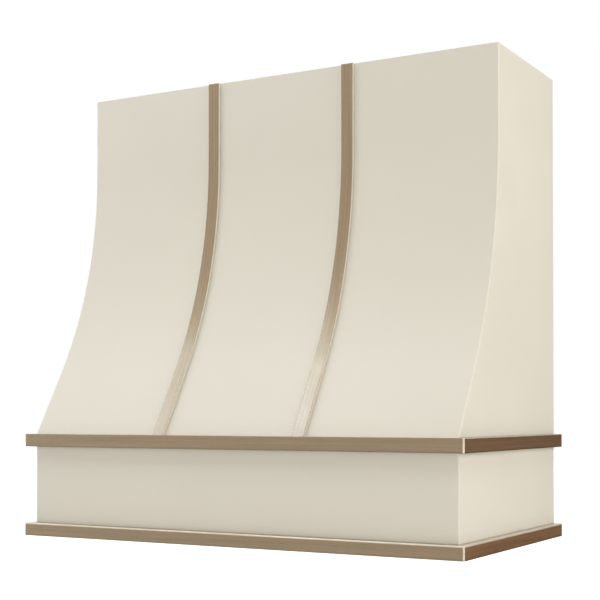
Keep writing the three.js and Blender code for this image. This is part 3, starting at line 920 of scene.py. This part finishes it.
def lamp(name, place_at, target, width, height, watts, tint):
    """A rectangular softbox. It stays out of the camera's sight."""
    data = bpy.data.lights.new(name, "AREA")
    data.shape = "RECTANGLE"
    data.size, data.size_y = width, height
    data.energy = watts
    data.color = tint
    light = bpy.data.objects.new(name, data)
    light.location = place_at
    aim(light, target)
    light.visible_camera = False
    bpy.context.scene.collection.objects.link(light)


LAMP_TARGET = Vector((0.0, -0.2, 0.35))
LAMP_DISTANCE = 6.5

# name: azimuth from straight ahead (right is positive), elevation, width and height as seen from the hood,
# all in degrees, and watts
SOFTBOXES = {
    "low_softbox_left": (-63, 9, 22, 16, 55),
    "low_softbox_front": (4, 9, 15, 16, 47),
    "key_softbox_low": (-62, 42, 13, 8, 12.5),
    "key_softbox": (-51, 51, 13, 12, 10),
    "key_softbox_upper": (-60, 57, 12, 12, 35),
    "top_softbox_front": (-8, 66, 30, 18, 71),
    "top_softbox_right": (50, 62, 30, 20, 34),
    "left_softbox": (-94, 26, 40, 30, 85),
    "right_softbox": (84, 12, 46, 30, 130),
    "right_softbox_back": (112, 10, 34, 24, 130),
    "right_softbox_upper": (90, 65, 30, 24, 80),
}

# name: where it hangs, the strap's foot that it shines on, its side, all in metres, and watts
KICKERS = {
    "kicker_left": ((-1.012, -0.759, 1.209), (-0.1524, -0.2273, 0.235), 0.12, 0.12),
    "kicker_right": ((-0.625, -0.835, 1.362), (0.1524, -0.2273, 0.235), 0.12, 0.42),
}
WHITE_LIGHT = (1.0, 1.0, 1.0)
DAYLIGHT = (0.96, 1.0, 1.05)
KICKER_TINT = (0.9, 1.0, 1.15)

WORLD_FILL = 0.2  # strength of the white ground where it only lights
FLOOR_SIZE = 12.0
FLOOR_PAPER = (0.9, 0.9, 0.9, 1)
FLOOR_LIFT = 0.55  # the floor's own light near the hood, where the soft shadow stays
FLOOR_MELT = (0.7, 2.4)  # between these distances the floor melts into the white ground
FLOOR_EDGE = 0.02  # the floor inside the hood has no light of its own from this far within the outline

CARD_CENTRE = (2.0, 1.46, 0.3)
CARD_WIDTH, CARD_HEIGHT = 4.1, 3.4
CARD_TURN = math.radians(-25)
CARD_CLOTH = (0.02, 0.02, 0.02, 1)

# the photograph's view: millimetres of film and lens, the rise in widths of the film, metres, and degrees
CAMERA_FILM, CAMERA_LENS, CAMERA_RISE = 36.0, 76.685, 0.15535
CAMERA_PLACE = (1.27552, -2.22208, 0.24335)
CAMERA_TILT, CAMERA_TURN = 90.926, 29.508


def hang_softboxes():
    """Hangs each softbox on a sphere about the hood, at its azimuth and elevation, and a small kicker
    close to each strap's foot, which lifts its shine. The key lights have the cool tint of daylight."""
    for name, (azimuth, elevation, wide, high, watts) in SOFTBOXES.items():
        turn, rise = math.radians(azimuth), math.radians(elevation)
        way = Vector((math.sin(turn) * math.cos(rise), -math.cos(turn) * math.cos(rise), math.sin(rise)))
        width, height = (2 * LAMP_DISTANCE * math.tan(math.radians(angle) / 2) for angle in (wide, high))
        tint = DAYLIGHT if name.startswith("key") else WHITE_LIGHT
        lamp(name, LAMP_TARGET + LAMP_DISTANCE * way, LAMP_TARGET, width, height, watts, tint)
    for name, (place_at, target, side, watts) in KICKERS.items():
        lamp(name, place_at, target, side, side, watts, KICKER_TINT)


def seen_directly(tree):
    """1 for rays from the camera, from gloss and through glass, and 0 for the light that fills the scene."""
    path = add(tree, "ShaderNodeLightPath").outputs
    glossy = calculate(tree, "MAXIMUM", path["Is Camera Ray"], path["Is Glossy Ray"])
    return calculate(tree, "MAXIMUM", glossy, path["Is Transmission Ray"])


def make_world():
    """White where it is seen, and a dim even fill where it only lights."""
    world = bpy.data.worlds.new("white_studio")
    tree = cleared(world)
    level = ranged(tree, seen_directly(tree), 0, 1, WORLD_FILL, 1.0)
    background = add(tree, "ShaderNodeBackground", {"Color": (1, 1, 1, 1), "Strength": level})
    show(tree, background.outputs["Background"], "ShaderNodeOutputWorld")
    bpy.context.scene.world = world


def sheet(name, corners, material):
    """A flat sheet of the studio, from its four corners."""
    mesh = bpy.data.meshes.new(name)
    mesh.from_pydata(corners, [], [(0, 1, 2, 3)])
    mesh.materials.append(material)
    thing = bpy.data.objects.new(name, mesh)
    bpy.context.scene.collection.objects.link(thing)
    return thing


def make_floor():
    """A pale floor that melts into the white ground and keeps the hood's soft shadow."""
    material = bpy.data.materials.new("pale_floor")
    tree = cleared(material)
    diffuse = add(tree, "ShaderNodeBsdfDiffuse", {"Color": FLOOR_PAPER})
    place_on = add(tree, "ShaderNodeTexCoord").outputs["Object"]
    away = add(tree, "ShaderNodeVectorMath", {0: place_on}, operation="LENGTH").outputs["Value"]
    paper = ranged(tree, away, *FLOOR_MELT, FLOOR_LIFT, 1.0)
    split = add(tree, "ShaderNodeSeparateXYZ", {"Vector": place_on})
    past_side, past_wall = (
        calculate(tree, "SUBTRACT", calculate(tree, "ABSOLUTE", split.outputs[axis]), reach)
        for axis, reach in (("X", PANEL_HIGH.x), ("Y", WALL))
    )
    outside = ranged(tree, calculate(tree, "MAXIMUM", past_side, past_wall), -FLOOR_EDGE, 0, 0, 1)
    lift = calculate(tree, "MULTIPLY", calculate(tree, "MULTIPLY", seen_directly(tree), paper), outside)
    glow = add(tree, "ShaderNodeEmission", {"Color": (1, 1, 1, 1), "Strength": lift})
    both = add(tree, "ShaderNodeAddShader", {0: diffuse.outputs[0], 1: glow.outputs[0]})
    show(tree, both.outputs[0])
    half = FLOOR_SIZE / 2
    corners = [(-half, -half, 0), (half, -half, 0), (half, half, 0), (-half, half, 0)]
    floor = sheet("studio_floor", corners, material)
    floor.visible_glossy = False


def make_dark_card():
    """A dark card beside the hood, as photographers stand one there. Only polished surfaces show it: it
    keeps the shine off the side mouldings, so that their wood reads dark."""
    material = bpy.data.materials.new("black_cloth")
    tree = cleared(material)
    cloth = add(tree, "ShaderNodeBsdfDiffuse", {"Color": CARD_CLOTH})
    show(tree, cloth.outputs[0])
    along = np.array([math.cos(CARD_TURN), math.sin(CARD_TURN), 0.0]) * CARD_WIDTH / 2
    up = np.array([0.0, 0.0, CARD_HEIGHT / 2])
    corners = np.array(CARD_CENTRE) + [-along - up, along - up, along + up, -along + up]
    card = sheet("dark_card", corners, material)
    card.visible_camera = False
    card.visible_diffuse = False
    card.visible_shadow = False
    card.visible_transmission = False


def make_camera():
    """A camera a little higher than the base, to the hood's right, rising as a shift lens does."""
    data = bpy.data.cameras.new("studio_camera")
    data.sensor_width = CAMERA_FILM
    data.lens = CAMERA_LENS
    data.shift_y = CAMERA_RISE
    data.clip_start, data.clip_end = 0.05, 60.0
    camera = bpy.data.objects.new("studio_camera", data)
    camera.location = CAMERA_PLACE
    camera.rotation_euler = (math.radians(CAMERA_TILT), 0.0, math.radians(CAMERA_TURN))
    bpy.context.scene.collection.objects.link(camera)
    bpy.context.scene.camera = camera


class HOOD_OT_stage(bpy.types.Operator):
    """Set up the floor, the softboxes, the white ground and the camera"""

    bl_idname = "hood.stage"
    bl_label = "Studio"

    def execute(self, context):
        context.scene.view_settings.view_transform = "Standard"
        make_world()
        make_floor()
        make_dark_card()
        hang_softboxes()
        make_camera()
        return {"FINISHED"}


# -------- panel


class HOOD_PT_panel(bpy.types.Panel):
    """Sizes, colours and steps of the hood"""

    bl_idname = "HOOD_PT_panel"
    bl_label = "Range hood cover"
    bl_space_type = "VIEW_3D"
    bl_region_type = "UI"
    bl_category = "Hood"

    def draw(self, context):
        for group in (context.scene.hood_sizes, context.scene.hood_colours):
            box = self.layout.box()
            for name in group.bl_rna.properties.keys():
                if name not in ("rna_type", "name"):
                    box.prop(group, name)
        for operator in OPERATORS:
            self.layout.operator(operator.bl_idname)


OPERATORS = (
    HOOD_OT_stage,
    HOOD_OT_shell,
    HOOD_OT_straps,
    HOOD_OT_mouldings,
    HOOD_OT_frame,
    HOOD_OT_screws,
)
CLASSES = (HoodSizes, HoodColours, *OPERATORS, HOOD_PT_panel)


def register():
    """Makes the classes and the scene's settings known."""
    for item in CLASSES:
        bpy.utils.register_class(item)
    bpy.types.Scene.hood_sizes = PointerProperty(type=HoodSizes)
    bpy.types.Scene.hood_colours = PointerProperty(type=HoodColours)


def unregister():
    """Takes the settings and the classes away again."""
    del bpy.types.Scene.hood_colours
    del bpy.types.Scene.hood_sizes
    for item in reversed(CLASSES):
        bpy.utils.unregister_class(item)


def main():
    """Builds the stage and the hood."""
    register()
    bpy.ops.hood.stage()
    bpy.ops.hood.shell()
    bpy.ops.hood.straps()
    bpy.ops.hood.mouldings()
    bpy.ops.hood.frame()
    bpy.ops.hood.screws()


if __name__ == "__main__":
    main()
